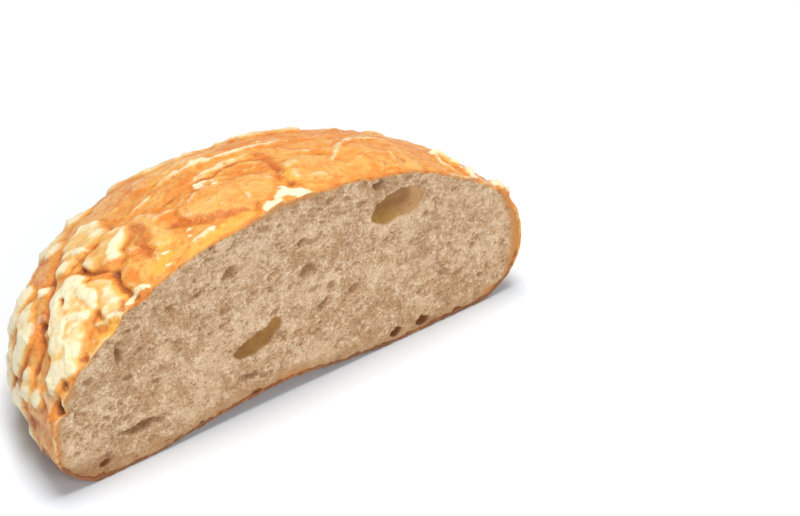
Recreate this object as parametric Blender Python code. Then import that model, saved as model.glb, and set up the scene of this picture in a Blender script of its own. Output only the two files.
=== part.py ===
"""Half of a round loaf with cheese baked onto its crust, cut through the middle and standing on its base.

The cut face looks along -Y, +X runs along the cut and +Z is up. Lengths are in metres.
A place on the crust is a pair (bearing, height angle) in degrees, as seen from the heart of the loaf,
a point on the cut at the height where the loaf is widest. Bearing 0 is the right end of the cut, 90 is
the back and 180 is the left end. A place on the cut face is a pair (x, z) from the middle of the base.
"""

import math

import bmesh
import bpy
import numpy as np
from mathutils import Matrix, Vector

MM = 0.001

# The plain loaf
HEIGHT = 71 * MM
HEART_HEIGHT = 22 * MM
REACH_LEFT = 83.5 * MM
REACH_RIGHT = 85.5 * MM
REACH_BACK = 79.5 * MM
BELLY_DROP = 30 * MM  # how far under the heart the side would close, were it not cut off by the base
# How full the curve from the waist to the top is: 2 is an ellipse, more is boxier
FULLNESS_LEFT = 1.98
FULLNESS_RIGHT = 1.87
FULLNESS_BACK = 1.76
FULLNESS_UNDER = 2.9

# The base lifts off the board near the cut
ARCH_RISE = 4.6 * MM
ARCH_MIDDLE = -8 * MM
ARCH_HALF_WIDTH = 48 * MM
ARCH_DEPTH = 42 * MM

# Unevenness of the baked dough: (bump size, height)
SWELLS = ((34 * MM, 1.1 * MM), (15 * MM, 0.7 * MM))
WANDER_SIZE = 7 * MM  # how far apart the wobbles of an edge are
WANDER = 1.1 * MM  # how far they push it
WANDER_SEEDS = (3, 4, 5)
BASE_FADE = 6 * MM  # height over the base in which the unevenness grows to its full size

# Melted cheese: (thickness, softness of its edge, blobs), where a blob is (bearing, angle, radius in mm)
POOLS = (
    (3.0 * MM, 1.6 * MM, (
        (157, 25.5, 6), (161.5, 23, 7), (166.5, 25.5, 7), (165.5, 19.5, 5), (170, 21, 6.5),
        (170.5, 17, 5.5), (174.5, 19, 5), (175, 14.5, 5), (178.5, 16.5, 3.5), (174.5, 11, 4),
    )),
    (2.0 * MM, 1.8 * MM, ((168, 30.5, 5.5), (174, 31, 5.5), (179, 32.5, 4.5), (163, 29, 4))),
    (2.8 * MM, 1.6 * MM, (
        (144.5, 11, 6), (147, 6.5, 7), (152.5, 11.5, 6), (157.5, 10.5, 5.5), (158.5, 5.5, 6.5),
        (152, 1, 7), (155, -3, 5.5), (150, 17, 3.5),
    )),
    (2.4 * MM, 1.5 * MM, ((161, -1.5, 6), (166.5, 3.5, 5.5), (171.5, 5, 4.5), (165, 7, 4))),
    (2.6 * MM, 3.0 * MM, ((145, -5, 9), (152, -6, 10), (160, -6.5, 9), (167, -7.5, 7), (172.5, -9, 5))),
    (2.2 * MM, 1.8 * MM, ((147, 22.5, 5), (143, 25.5, 6), (138, 23.5, 6), (133, 26, 7), (140, 30, 6))),
    (1.7 * MM, 1.8 * MM, ((151.7, 30, 5), (149.5, 35.5, 6), (143, 36, 6), (155, 36, 4))),
    (1.2 * MM, 1.4 * MM, ((123, 64, 9), (106, 73, 9), (139, 58, 7), (146, 68, 7), (128, 76, 8))),
    (1.1 * MM, 1.4 * MM, ((31, 65, 10), (26, 50, 8), (44, 70, 8), (12, 62, 8), (14, 48, 8))),
    (1.1 * MM, 1.4 * MM, ((12, 39, 7), (5, 33, 7), (3, 42, 6))),
    (1.3 * MM, 1.5 * MM, ((149.5, 44.5, 8), (153, 39.5, 6), (158, 49, 6), (140, 43, 6))),
    (0.9 * MM, 0.7 * MM, ((165, 82, 3.2), (170, 87.5, 2.6), (10, 84.5, 2.2), (80, 83, 2.8))),
    (1.5 * MM, 1.0 * MM, ((18, 28.8, 3), (1, 24.8, 1.9), (2, 12.6, 2.2))),
    (2.2 * MM, 1.6 * MM, ((128, 12, 7), (122, 8, 6), (118, 14, 7), (126, 3, 6), (133, 16, 5))),
    (1.8 * MM, 1.6 * MM, ((97, 22, 8), (90, 18, 7), (103, 16, 6), (88, 27, 6))),
    (2.0 * MM, 1.6 * MM, ((68, 30, 8), (61, 25, 7), (72, 22, 6), (56, 32, 6))),
    (1.7 * MM, 1.6 * MM, ((38, 14, 7), (31, 10, 6), (44, 9, 7), (34, 20, 5))),
    (1.4 * MM, 1.5 * MM, ((104, 36, 7), (95, 39, 8), (112, 33, 6))),
    (1.5 * MM, 1.5 * MM, ((17, 12, 5), (12, 8, 5), (19, 5, 6))),
)

SOFT_UNION = 1.0 * MM  # how roundly the blobs of a pool run together

# Creases between the pools: (width, depth, places along it)
CREASES = (
    (3.6 * MM, 2.6 * MM, (
        (138, 18), (148.5, 18.4), (155, 18.6), (161, 16.8), (160.5, 14.5), (164.5, 13), (167, 9.5),
    )),
    (2.8 * MM, 2.4 * MM, ((152, 26.8), (157, 30.5), (160.4, 33.8), (166, 34.2), (172, 35), (180, 38))),
    (4.0 * MM, 1.6 * MM, ((150, 41.5), (157, 38), (163, 35))),
    (5.0 * MM, 1.3 * MM, ((149.5, 52), (155, 61), (157.7, 71), (150, 79))),
    (2.6 * MM, 1.6 * MM, ((88, 53), (72, 58.5), (66, 66.8), (54, 80))),
    (2.4 * MM, 1.3 * MM, ((131, 45), (123, 48), (114.5, 50.3), (101, 53.5), (88, 54))),
    (5.0 * MM, 1.6 * MM, ((161, -8), (168, -3.5), (173, -1.5), (177.5, -1))),
    (1.8 * MM, 1.3 * MM, ((170, 10), (172.5, 7), (175, 2))),
    (3.4 * MM, 1.6 * MM, ((176, 24.5), (180, 26.5))),
)

# Holes in the crust: (bearing, angle, radius, depth)
PITS = (
    (178.4, 7.6, 2.7 * MM, 4.5 * MM),
    (161.5, 22.5, 1.1 * MM, 1.5 * MM),
    (159.5, 14.9, 1.8 * MM, 2.2 * MM),
    (179.4, 19.2, 1.5 * MM, 2.0 * MM),
    (179.2, 12.6, 1.4 * MM, 2.0 * MM),
)

PIT_EDGE = 0.18  # width of a hole's sloping edge over its radius

# Shreds of cheese on the crust: (width, places along it)
SHREDS = (
    (2.2 * MM, ((144.5, 46.6), (139.4, 49.6), (133.1, 53.1), (121.1, 54.3))),
    (2.0 * MM, ((112, 53.7), (109.8, 55.9), (105, 58), (100, 58.5))),
    (1.8 * MM, ((94.5, 60.7), (84.5, 62), (75.8, 63.9))),
    (2.0 * MM, ((60.3, 57.5), (46.6, 54.8), (35.6, 51.2))),
    (2.6 * MM, ((24.3, 63), (30.6, 52.6), (33.1, 43.4), (27.9, 35.6), (19.5, 32.4))),
    (1.6 * MM, ((15.5, 61.7), (17.4, 54.5), (18.5, 47.1))),
    (3.0 * MM, ((115, 38.7), (102.3, 43.6), (87, 47), (72.6, 48.7), (57.6, 46.7))),
    (2.4 * MM, ((124.2, 48.6), (110, 51.4), (99.3, 52), (80, 53))),
    (2.2 * MM, ((170.5, 55.6), (169.5, 59.8), (168, 64))),
    (2.4 * MM, ((14.1, 23.9), (8, 26.3), (2.8, 26.1))),
    (2.4 * MM, ((172.5, 8.4), (175.5, 6.5), (179, 3))),
    (2.2 * MM, ((173.7, 25.2), (176.3, 28.2), (179, 31.5))),
    (2.2 * MM, ((132, 36), (125, 40), (120, 41.5))),
    (2.0 * MM, ((40, 38), (46, 43), (52, 44.5))),
)
SCATTERED_SHREDS = 16  # more of them over the back and the sides
SCATTER_SEED = 11
SCATTER_BEARINGS = (14, 150)
SCATTER_ANGLES = (-6, 40)
SCATTER_LENGTH = (9 * MM, 22 * MM)
SCATTER_WIDTH = (2.0 * MM, 3.0 * MM)
SCATTER_BEND = 0.7  # most that half of a shred turns away from its middle, in radians
SCATTER_TRIES = 12  # places tried for each shred
SHRED_SIDES = 6
SHRED_STEP = 3.2 * MM
SHRED_FLATNESS = 0.75  # thickness over width
SHRED_BLUNTNESS = 0.4  # power of the sine that tapers it, lower for blunter ends
SHRED_TIP = 0.7  # how far its ends lie from where it would close to a point, in steps
FINE_COUNT = 40  # points for measuring a line's length
BEHIND_CUT = 0.4 * MM  # the knife took what stood further forward

# Bubbles in the cut face: (x, z, half length, half height, depth, tilt in degrees), all but the tilt in mm
BUBBLES = (
    (38.6, 52.4, 8.2, 5.4, 6.0, 18),
    (43.4, 52.8, 5.2, 5.0, 5.5, 10),
    (-15.8, 23.8, 4.7, 2.8, 4.0, 5),
    (-10.5, 25.1, 4.4, 2.8, 3.8, 20),
    (-6.6, 27.6, 3.6, 2.5, 3.2, 50),
    (33.4, 63.6, 2.7, 1.6, 2.4, -8),
    (4.9, 54.7, 2.2, 1.2, 1.6, 0),
    (7.6, 42.9, 3.8, 3.0, 1.2, 10),
    (-20.9, 54.6, 3.4, 2.3, 1.6, 15),
    (23.3, 28.5, 2.3, 1.6, 1.8, 20),
    (12.5, 27.9, 2.6, 1.5, 1.6, 20),
    (-53.3, 12.9, 7.6, 1.7, 3.6, -3),
    (-13.6, 12.2, 5.6, 1.0, 1.6, -20),
    (-67.1, 5.4, 2.0, 1.5, 2.6, 20),
    (-61.0, 43.0, 0.9, 3.4, 2.2, 0),
    (-76.4, 27.3, 0.7, 2.0, 1.4, 0),
    (38.9, 3.2, 2.7, 1.4, 3.0, 5),
    (49.2, 3.0, 2.3, 1.5, 3.0, 5),
    (73.6, 12.3, 1.4, 3.5, 1.6, -8),
    (-7.8, 65.4, 3.8, 1.3, 1.6, -25),
)
DEEP = 4 * MM  # a deeper bubble is made rounder
SPREAD_BUBBLES = 12  # small ones between them
BUBBLE_SEED = 5
SPREAD_BUBBLE_HALF = (1.1 * MM, 1.9 * MM)
SPREAD_BUBBLE_SQUASH = (0.5, 0.8)
SPREAD_BUBBLE_DEPTH = 0.8  # over half its length
SPREAD_BUBBLE_TILT = 30
CLEAR_OF_CRUST = 6 * MM
CLEAR_OF_BASE = 9 * MM
BETWEEN_BUBBLES = 3 * MM

GRID = 140  # cells along each side of the grid that wraps the crust
GRID_SQUASH = 0.62  # turns the grid's directions towards the waist, where the loaf reaches furthest
BODY_SHARE = 0.11  # of the grid's faces that stay after thinning
NEARLY_FLAT = 0.15 * MM  # what rises less than this from the base is laid flat
SHARP_ANGLE = 40  # degrees between two faces from which their edge looks sharp


def lumps(points, size, seed):
    """Smooth noise from -1 to 1 at each point, with bumps of about the given size."""
    places = points / size + seed * 17.3
    cells = np.floor(places).astype(np.int64)
    inside = places - cells
    ease = inside * inside * inside * (inside * (inside * 6 - 15) + 10)
    total = np.zeros(len(points))
    for corner in np.ndindex(2, 2, 2):
        at = cells + corner
        code = (at[:, 0] * 73856093) ^ (at[:, 1] * 19349663) ^ (at[:, 2] * 83492791)
        code = (code & 0x7FFFFFFF) * 1103515245 & 0x7FFFFFFF
        code = (code ^ (code >> 13)) * 1274126177 & 0x7FFFFFFF
        value = (code ^ (code >> 16)) / 0x3FFFFFFF - 1
        total += value * np.prod(np.where(corner, ease, 1 - ease), axis=1)
    return total


def direction(bearing, angle):
    """Unit direction or directions from the heart for places in degrees."""
    b, a = np.radians(bearing), np.radians(angle)
    return np.stack([np.cos(a) * np.cos(b), np.cos(a) * np.sin(b), np.sin(a)], axis=-1)


def plain_reach(directions):
    """Distance from the heart to the plain loaf along each unit direction."""
    level = np.maximum(np.hypot(directions[:, 0], directions[:, 1]), 1e-9)
    to_back = (directions[:, 1] / level) ** 2
    leftward = directions[:, 0] < 0
    reach = np.where(leftward, REACH_LEFT, REACH_RIGHT) * (1 - to_back) + REACH_BACK * to_back
    fullness = np.where(leftward, FULLNESS_LEFT, FULLNESS_RIGHT) * (1 - to_back) + FULLNESS_BACK * to_back
    upward = directions[:, 2] >= 0
    fullness = np.where(upward, fullness, FULLNESS_UNDER)
    rise = np.where(upward, HEIGHT - HEART_HEIGHT, BELLY_DROP)
    steep = np.abs(directions[:, 2])
    far = ((level / reach) ** fullness + (steep / rise) ** fullness) ** (-1 / fullness)
    to_base = np.where(upward, np.inf, HEART_HEIGHT / np.maximum(steep, 1e-9))
    return np.minimum(far, to_base)


def on_plain_crust(directions):
    return directions * plain_reach(directions)[:, None]


def curve_through(places, count):
    """Points on the plain crust along a smooth line through the places."""
    knots = np.array(places, float)
    ends = np.concatenate([[2 * knots[0] - knots[1]], knots, [2 * knots[-1] - knots[-2]]])
    samples = []
    for t in np.linspace(0, len(knots) - 1, count):
        leg = min(int(t), len(knots) - 2)
        a, b, c, d = ends[leg : leg + 4]
        s = t - leg
        samples.append(0.5 * (2 * b + (c - a) * s + (2 * a - 5 * b + 4 * c - d) * s**2
                              + (3 * b - a - 3 * c + d) * s**3))
    samples = np.array(samples)
    return on_plain_crust(direction(samples[:, 0], samples[:, 1]))


def distance_to(points, line):
    """Distance from each point to a line of points."""
    nearest = np.full(len(points), np.inf)
    for start, end in zip(line[:-1], line[1:]):
        leg = end - start
        along = np.clip((points - start) @ leg / (leg @ leg), 0, 1)
        nearest = np.minimum(nearest, np.linalg.norm(points - start - along[:, None] * leg, axis=1))
    return nearest


def pool_height(points, thickness, softness, blobs):
    """Height of a pool of cheese over each point of the plain crust."""
    total = np.zeros(len(points))
    for bearing, angle, radius in blobs:
        middle = on_plain_crust(direction([bearing], [angle]))[0]
        depth_inside = radius * MM - np.linalg.norm(points - middle, axis=1)
        total += np.exp(np.clip(depth_inside / SOFT_UNION, -40, 40))
    depth_inside = SOFT_UNION * np.log(np.maximum(total, 1e-12))
    return thickness * np.tanh(np.maximum(depth_inside, 0) / softness)


def crust_height(directions):
    """Height of the real crust over the plain one along each direction."""
    plain = on_plain_crust(directions)
    wander = np.stack([lumps(plain, WANDER_SIZE, seed) for seed in WANDER_SEEDS], axis=1)
    points = plain + WANDER * wander
    height = sum(rise * lumps(plain, size, seed) for seed, (size, rise) in enumerate(SWELLS))
    height += sum(pool_height(points, *pool) for pool in POOLS)
    for width, depth, places in CREASES:
        away = distance_to(points, curve_through(places, 6 * len(places)))
        height -= depth * np.exp(-((away / (0.5 * width)) ** 2))
    for bearing, angle, radius, depth in PITS:
        middle = on_plain_crust(direction([bearing], [angle]))[0]
        away = np.linalg.norm(points - middle, axis=1)
        height -= depth / (1 + np.exp(np.minimum((away - radius) / (PIT_EDGE * radius), 50)))
    over_base = np.clip((plain[:, 2] + HEART_HEIGHT) / BASE_FADE, 0, 1)
    return height * over_base


def crust_points(directions):
    """Points of the real crust, from the middle of the base, with the base's arch."""
    points = directions * (plain_reach(directions) + crust_height(directions))[:, None]
    points[:, 2] += HEART_HEIGHT
    aside = np.clip((points[:, 0] - ARCH_MIDDLE) / ARCH_HALF_WIDTH, -1, 1)
    behind = np.clip(points[:, 1] / ARCH_DEPTH, -1, 1)
    arch = ARCH_RISE * ((1 - aside**2) * (1 - behind**2)) ** 2
    points[:, 2] = np.maximum(points[:, 2], arch)
    return points


def grid_directions():
    """Directions behind the cut, one for each point of a square grid."""
    u, v = np.meshgrid(*[np.linspace(-1, 1, GRID + 1)] * 2, indexing="ij")
    x = u * np.sqrt(1 - v * v / 2)
    z = v * np.sqrt(1 - u * u / 2)
    inward = 1 - x * x - z * z
    edge = np.maximum(np.abs(u), np.abs(v)) == 1
    inward[edge] = 0
    spread = np.sqrt(1 + inward)
    found = np.stack([x * spread, inward, z * spread * GRID_SQUASH], axis=-1).reshape(-1, 3)
    return found / np.linalg.norm(found, axis=1, keepdims=True)


def grid_faces():
    """Faces of the grid, looking outwards, and its border in order round the cut face."""
    at = np.arange((GRID + 1) ** 2).reshape(GRID + 1, GRID + 1)
    faces = np.stack([at[:-1, :-1], at[:-1, 1:], at[1:, 1:], at[1:, :-1]], axis=-1)
    border = np.concatenate([at[:-1, 0], at[-1, :-1], at[:0:-1, -1], at[0, :0:-1]])
    return faces.reshape(-1, 4).tolist(), border.tolist()


def material(name, colour, roughness):
    made = bpy.data.materials.new(name)
    made.use_nodes = True
    shader = made.node_tree.nodes["Principled BSDF"]
    shader.inputs["Base Color"].default_value = (*colour, 1)
    shader.inputs["Roughness"].default_value = roughness
    shader.inputs["Metallic"].default_value = 0
    made.diffuse_color = (*colour, 1)
    return made


def new_object(name, mesh, *materials):
    made = bpy.data.objects.new(name, mesh)
    for each in materials:
        mesh.materials.append(each)
    bpy.context.scene.collection.objects.link(made)
    return made


def apply_modifiers(target):
    bpy.context.view_layer.update()
    graph = bpy.context.evaluated_depsgraph_get()
    finished = bpy.data.meshes.new_from_object(target.evaluated_get(graph))
    target.modifiers.clear()
    target.data = finished


def make_body(crust, crumb):
    """The loaf's half, closed by its flat cut face, with the faces that carry no shape thinned out."""
    points = crust_points(grid_directions())
    faces, border = grid_faces()
    heart = len(points)
    points = np.vstack([points, [0, 0, HEART_HEIGHT]])
    cut_faces = [(a, b, heart) for a, b in zip(border, border[1:] + border[:1])]
    mesh = bpy.data.meshes.new("bread")
    mesh.from_pydata(points.tolist(), [], faces + cut_faces)
    body = new_object("bread", mesh, crust, crumb)
    for polygon in mesh.polygons[len(faces) :]:
        polygon.material_index = 1
    thinning = body.modifiers.new("thinning", "DECIMATE")
    thinning.ratio = BODY_SHARE
    apply_modifiers(body)
    flatten(body.data)
    return body


def flatten(mesh):
    """Makes the cut face one flat polygon again, and the base flat."""
    form = bmesh.new()
    form.from_mesh(mesh)
    for vertex in form.verts:
        if vertex.co.z < NEARLY_FLAT:
            vertex.co.z = 0
    old = [face for face in form.faces if face.material_index == 1]
    bmesh.ops.delete(form, geom=old, context="FACES")
    rim = [edge for edge in form.edges if edge.is_boundary]
    for vertex in {vertex for edge in rim for vertex in edge.verts}:
        vertex.co.y = 0
    cut = bmesh.ops.contextual_create(form, geom=rim)["faces"]
    for face in cut:
        face.material_index = 1
    bmesh.ops.recalc_face_normals(form, faces=form.faces)
    form.to_mesh(mesh)
    form.free()


def shred_line(places):
    """Evenly spaced points along the middle of a shred, before it is laid on the real crust."""
    line = curve_through(places, FINE_COUNT)
    length = np.linalg.norm(np.diff(line, axis=0), axis=1).sum()
    return curve_through(places, max(4, round(length / SHRED_STEP) + 1))


def shred_mesh(places, width):
    """A flattened, tapered shred that follows the crust and is sunk in it by half."""
    line = shred_line(places)
    outward = line / np.linalg.norm(line, axis=1, keepdims=True)
    line = crust_points(outward)
    form = bmesh.new()
    rings = []
    for i, centre in enumerate(line):
        ahead = line[min(i + 1, len(line) - 1)] - line[max(i - 1, 0)]
        ahead /= np.linalg.norm(ahead)
        side = np.cross(ahead, outward[i])
        side /= np.linalg.norm(side)
        top = np.cross(side, ahead)
        share_along = (i + SHRED_TIP) / (len(line) - 1 + 2 * SHRED_TIP)
        full = math.sin(math.pi * share_along) ** SHRED_BLUNTNESS
        half = 0.5 * width * full
        ring = []
        for turn in range(SHRED_SIDES):
            a = 2 * math.pi * (turn + 0.5) / SHRED_SIDES
            point = centre + side * half * math.cos(a) + top * half * SHRED_FLATNESS * math.sin(a)
            point[1] = max(point[1], BEHIND_CUT)
            ring.append(form.verts.new(point))
        rings.append(ring)
    for ring, following in zip(rings[:-1], rings[1:]):
        for turn in range(SHRED_SIDES):
            after = (turn + 1) % SHRED_SIDES
            form.faces.new((ring[turn], following[turn], following[after], ring[after]))
    form.faces.new(rings[0])
    form.faces.new(rings[-1][::-1])
    bmesh.ops.recalc_face_normals(form, faces=form.faces)
    bmesh.ops.triangulate(form, faces=form.faces)
    mesh = bpy.data.meshes.new("shred")
    form.to_mesh(mesh)
    form.free()
    return mesh


def scattered_shreds():
    """Shreds over the back and the sides, each at the roomiest of a few seeded places."""
    draw = np.random.default_rng(SCATTER_SEED)
    taken = [on_plain_crust(direction(*np.array(places, float).mean(0)[:, None]))[0] for _, places in SHREDS]
    made = []
    for _ in range(SCATTERED_SHREDS):
        bearings = draw.uniform(*SCATTER_BEARINGS, SCATTER_TRIES)
        tries = np.stack([bearings, draw.uniform(*SCATTER_ANGLES, SCATTER_TRIES)], axis=1)
        spots = on_plain_crust(direction(tries[:, 0], tries[:, 1]))
        room = np.linalg.norm(spots[:, None] - np.array(taken), axis=2).min(1)
        best = int(np.argmax(room))
        taken.append(spots[best])
        bearing, angle = tries[best]
        reach = np.linalg.norm(spots[best])
        half = np.degrees(0.5 * draw.uniform(*SCATTER_LENGTH) / reach)
        heading = draw.uniform(0, math.pi)
        bend = draw.uniform(-SCATTER_BEND, SCATTER_BEND)
        places = []
        for s in (-1, 0, 1):
            turned = heading + bend * s
            places.append((bearing + half * s * math.cos(turned) / math.cos(math.radians(angle)),
                           angle + half * s * math.sin(turned)))
        made.append((draw.uniform(*SCATTER_WIDTH), tuple(places)))
    return made


def bubble_object(x, z, half_length, half_height, depth, tilt):
    form = bmesh.new()
    fineness = 3 if depth > DEEP else 2
    bmesh.ops.create_icosphere(form, subdivisions=fineness, radius=1)
    turn = Matrix.Rotation(-math.radians(tilt), 4, "Y")
    size = Matrix.Diagonal((half_length, depth, half_height, 1))
    bmesh.ops.transform(form, matrix=Matrix.Translation((x, 0, z)) @ turn @ size, verts=form.verts)
    mesh = bpy.data.meshes.new("bubble")
    form.to_mesh(mesh)
    form.free()
    return mesh


def all_bubbles():
    """The large bubbles and small ones between them, each clear of the others and of the crust."""
    draw = np.random.default_rng(BUBBLE_SEED)
    made = [tuple(np.array(bubble[:5]) * MM) + (bubble[5],) for bubble in BUBBLES]
    wanted = len(made) + SPREAD_BUBBLES
    while len(made) < wanted:
        x, z = draw.uniform(-REACH_LEFT, REACH_RIGHT), draw.uniform(0, HEIGHT)
        half = draw.uniform(*SPREAD_BUBBLE_HALF)
        around = math.degrees(math.atan2(z - HEART_HEIGHT, x))
        towards = direction([0 if x > 0 else 180], [around if x > 0 else 180 - around])
        room = plain_reach(towards)[0] - math.hypot(x, z - HEART_HEIGHT)
        if room < CLEAR_OF_CRUST or z < CLEAR_OF_BASE:
            continue
        if all(math.hypot(x - b[0], z - b[1]) > half + b[2] + BETWEEN_BUBBLES for b in made):
            half_height = half * draw.uniform(*SPREAD_BUBBLE_SQUASH)
            tilt = draw.uniform(-SPREAD_BUBBLE_TILT, SPREAD_BUBBLE_TILT)
            made.append((x, z, half, half_height, half * SPREAD_BUBBLE_DEPTH, tilt))
    return made


def boolean(body, operation, meshes, surface):
    """One Boolean with a collection of shapes, applied, with the shapes then removed."""
    group = bpy.data.collections.new(operation.lower())
    bpy.context.scene.collection.children.link(group)
    for mesh in meshes:
        shape = bpy.data.objects.new(mesh.name, mesh)
        mesh.materials.append(surface)
        shape.display_type = "WIRE"
        shape.hide_render = True
        group.objects.link(shape)
    step = body.modifiers.new(operation.lower(), "BOOLEAN")
    step.operation = operation
    step.operand_type = "COLLECTION"
    step.collection = group
    step.material_mode = "TRANSFER"
    apply_modifiers(body)
    for shape in list(group.objects):
        bpy.data.objects.remove(shape)
    bpy.data.collections.remove(group)


def keep_largest(form):
    """Drops any scrap that isn't joined to the rest."""
    left = set(form.verts)
    groups = []
    while left:
        found, edge = set(), [left.pop()]
        while edge:
            vertex = edge.pop()
            found.add(vertex)
            for link in vertex.link_edges:
                other = link.other_vert(vertex)
                if other in left:
                    left.discard(other)
                    edge.append(other)
        groups.append(found)
    groups.sort(key=len)
    for scrap in groups[:-1]:
        bmesh.ops.delete(form, geom=list(scrap), context="VERTS")


def finish(body):
    """Drops loose scraps and filled hollows, centres the solid on the base and shades its rounds smooth."""
    form = bmesh.new()
    form.from_mesh(body.data)
    bmesh.ops.triangulate(form, faces=form.faces)
    keep_largest(form)
    low = Vector(min(v.co[i] for v in form.verts) for i in range(3))
    high = Vector(max(v.co[i] for v in form.verts) for i in range(3))
    middle = (low + high) / 2
    bmesh.ops.translate(form, vec=(-middle.x, -middle.y, -low.z), verts=form.verts)
    form.to_mesh(body.data)
    form.free()
    body.data.shade_smooth()
    body.data.set_sharp_from_angle(angle=math.radians(SHARP_ANGLE))


def main():
    for old in list(bpy.data.objects):
        bpy.data.objects.remove(old)
    crust = material("baked crust", (0.80, 0.42, 0.12), 0.45)
    crumb = material("crumb", (0.62, 0.50, 0.34), 0.85)
    cheese = material("baked cheese", (0.93, 0.74, 0.40), 0.4)
    body = make_body(crust, crumb)
    shreds = list(SHREDS) + scattered_shreds()
    boolean(body, "UNION", [shred_mesh(places, width) for width, places in shreds], cheese)
    boolean(body, "DIFFERENCE", [bubble_object(*bubble) for bubble in all_bubbles()], crumb)
    finish(body)


main()
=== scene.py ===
# %% [markdown]
# # Half of a round cheese loaf
# A round wheat loaf with grated cheese baked onto its crust, cut through the middle and standing on its
# base. Three things make it look real: a crust of melted, browned cheese, an open crumb full of small
# cells, and the thin band where the two meet at the knife's cut.
#
# The solid model of the loaf is loaded first. It fixes the place and the size of everything that follows,
# so each later piece is computed in the same frame, in metres, with Z up and the cut looking along -Y.

import math

import bmesh
import bpy
import numpy as np
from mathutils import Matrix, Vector


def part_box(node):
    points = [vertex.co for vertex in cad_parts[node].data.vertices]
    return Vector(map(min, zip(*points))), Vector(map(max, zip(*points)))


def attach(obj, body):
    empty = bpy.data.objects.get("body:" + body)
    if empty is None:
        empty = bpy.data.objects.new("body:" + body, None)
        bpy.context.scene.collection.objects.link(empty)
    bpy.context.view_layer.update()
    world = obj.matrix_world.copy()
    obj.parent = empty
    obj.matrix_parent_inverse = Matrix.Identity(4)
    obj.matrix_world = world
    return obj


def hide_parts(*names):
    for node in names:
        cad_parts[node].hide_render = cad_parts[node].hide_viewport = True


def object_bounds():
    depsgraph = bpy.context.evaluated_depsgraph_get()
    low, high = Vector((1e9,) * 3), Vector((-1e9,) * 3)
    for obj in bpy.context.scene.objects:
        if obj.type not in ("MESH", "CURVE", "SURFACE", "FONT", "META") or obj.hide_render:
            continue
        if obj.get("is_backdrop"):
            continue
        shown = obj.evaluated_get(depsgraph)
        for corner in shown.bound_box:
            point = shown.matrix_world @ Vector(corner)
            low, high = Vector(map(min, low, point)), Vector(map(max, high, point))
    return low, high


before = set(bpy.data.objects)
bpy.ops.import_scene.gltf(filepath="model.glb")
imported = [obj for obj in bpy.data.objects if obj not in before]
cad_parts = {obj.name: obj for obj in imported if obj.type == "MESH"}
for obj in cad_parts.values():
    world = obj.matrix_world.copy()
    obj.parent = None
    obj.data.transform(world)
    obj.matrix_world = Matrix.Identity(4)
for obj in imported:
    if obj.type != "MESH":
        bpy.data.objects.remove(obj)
cad_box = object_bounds()
MM = 0.001
low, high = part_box("bread")
HEART_TO_LEFT_SIDE = 84.816 * MM  # from the solid's left side to the middle of the cut
MIDDLE = np.array([low.x + HEART_TO_LEFT_SIDE, low.y, low.z])
print("solid", [round(c / MM, 1) for c in high - low], "mm, middle of the cut at", (MIDDLE / MM).round(2))

# %% [markdown]
# ## The camera
# A small loaf photographed from more than a metre away with a long lens keeps its far end almost as large
# as its near end. So the camera stands well back and looks down at the cut from its left end. It could be
# placed by eye, but two angles and a distance are easier to change and to check.

# %% Place the camera
CAMERA_HEIGHT_ANGLE = math.radians(38.5)
CAMERA_TURN = math.radians(-36.44)
CAMERA_DISTANCE = 1.3987  # metres, from the point it aims at
LENS = 201.15  # millimetres, for Blender's own sensor of 36 mm
AIM = Vector((MIDDLE[0] + 64.02 * MM, MIDDLE[1] + 32.49 * MM, 0))


def add_object(name, data):
    """A new object in the scene."""
    made = bpy.data.objects.new(name, data)
    bpy.context.scene.collection.objects.link(made)
    return made


towards_camera = Vector((
    math.sin(CAMERA_TURN) * math.cos(CAMERA_HEIGHT_ANGLE),
    -math.cos(CAMERA_TURN) * math.cos(CAMERA_HEIGHT_ANGLE),
    math.sin(CAMERA_HEIGHT_ANGLE),
))
camera = add_object("camera", bpy.data.cameras.new("camera"))
camera.data.lens = LENS
camera.location = AIM + towards_camera * CAMERA_DISTANCE
camera.rotation_euler = (-towards_camera).to_track_quat("-Z", "Y").to_euler()
bpy.context.scene.camera = camera
print("camera at", [round(c, 3) for c in camera.location])

# %% [markdown]
# ## Chance that repeats
# Dough and cheese are uneven, but each run of this script has to give the same loaf. Blender has noise of
# its own in materials. For shapes it is simpler to compute noise on plain arrays of points: every cube of
# a grid gets a number scrambled from its place, and the noise blends the numbers of the eight corners.
# The same scrambled numbers also place the pores of the crumb, one in each cube.

# %% Noise from scrambled cell numbers
def chance(cells, salt=0):
    """A repeatable number from 0 to 1 for each row of whole cell numbers."""
    code = (cells[:, 0] * 73856093) ^ (cells[:, 1] * 19349663) ^ (cells[:, 2] * 83492791) ^ (salt * 7919)
    code = (code & 0x7FFFFFFF) * 1103515245 & 0x7FFFFFFF
    code = (code ^ (code >> 13)) * 1274126177 & 0x7FFFFFFF
    return (code ^ (code >> 16)) / 0x7FFFFFFE


def lumps(points, size, seed):
    """Smooth noise from -1 to 1, with bumps of about the given size."""
    places = points / size + seed * 17.3
    cells = np.floor(places).astype(np.int64)
    inside = places - cells
    ease = inside * inside * inside * (inside * (inside * 6 - 15) + 10)
    total = np.zeros(len(points))
    for corner in np.ndindex(2, 2, 2):
        total += (2 * chance(cells + corner) - 1) * np.prod(np.where(corner, ease, 1 - ease), axis=1)
    return total


def wavy(points, size, seed, push):
    """The points, each pushed a little sideways by noise, so that outlines drawn on them wander."""
    return points + push * np.stack([lumps(points, size, seed + k) for k in range(3)], axis=1)


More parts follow.
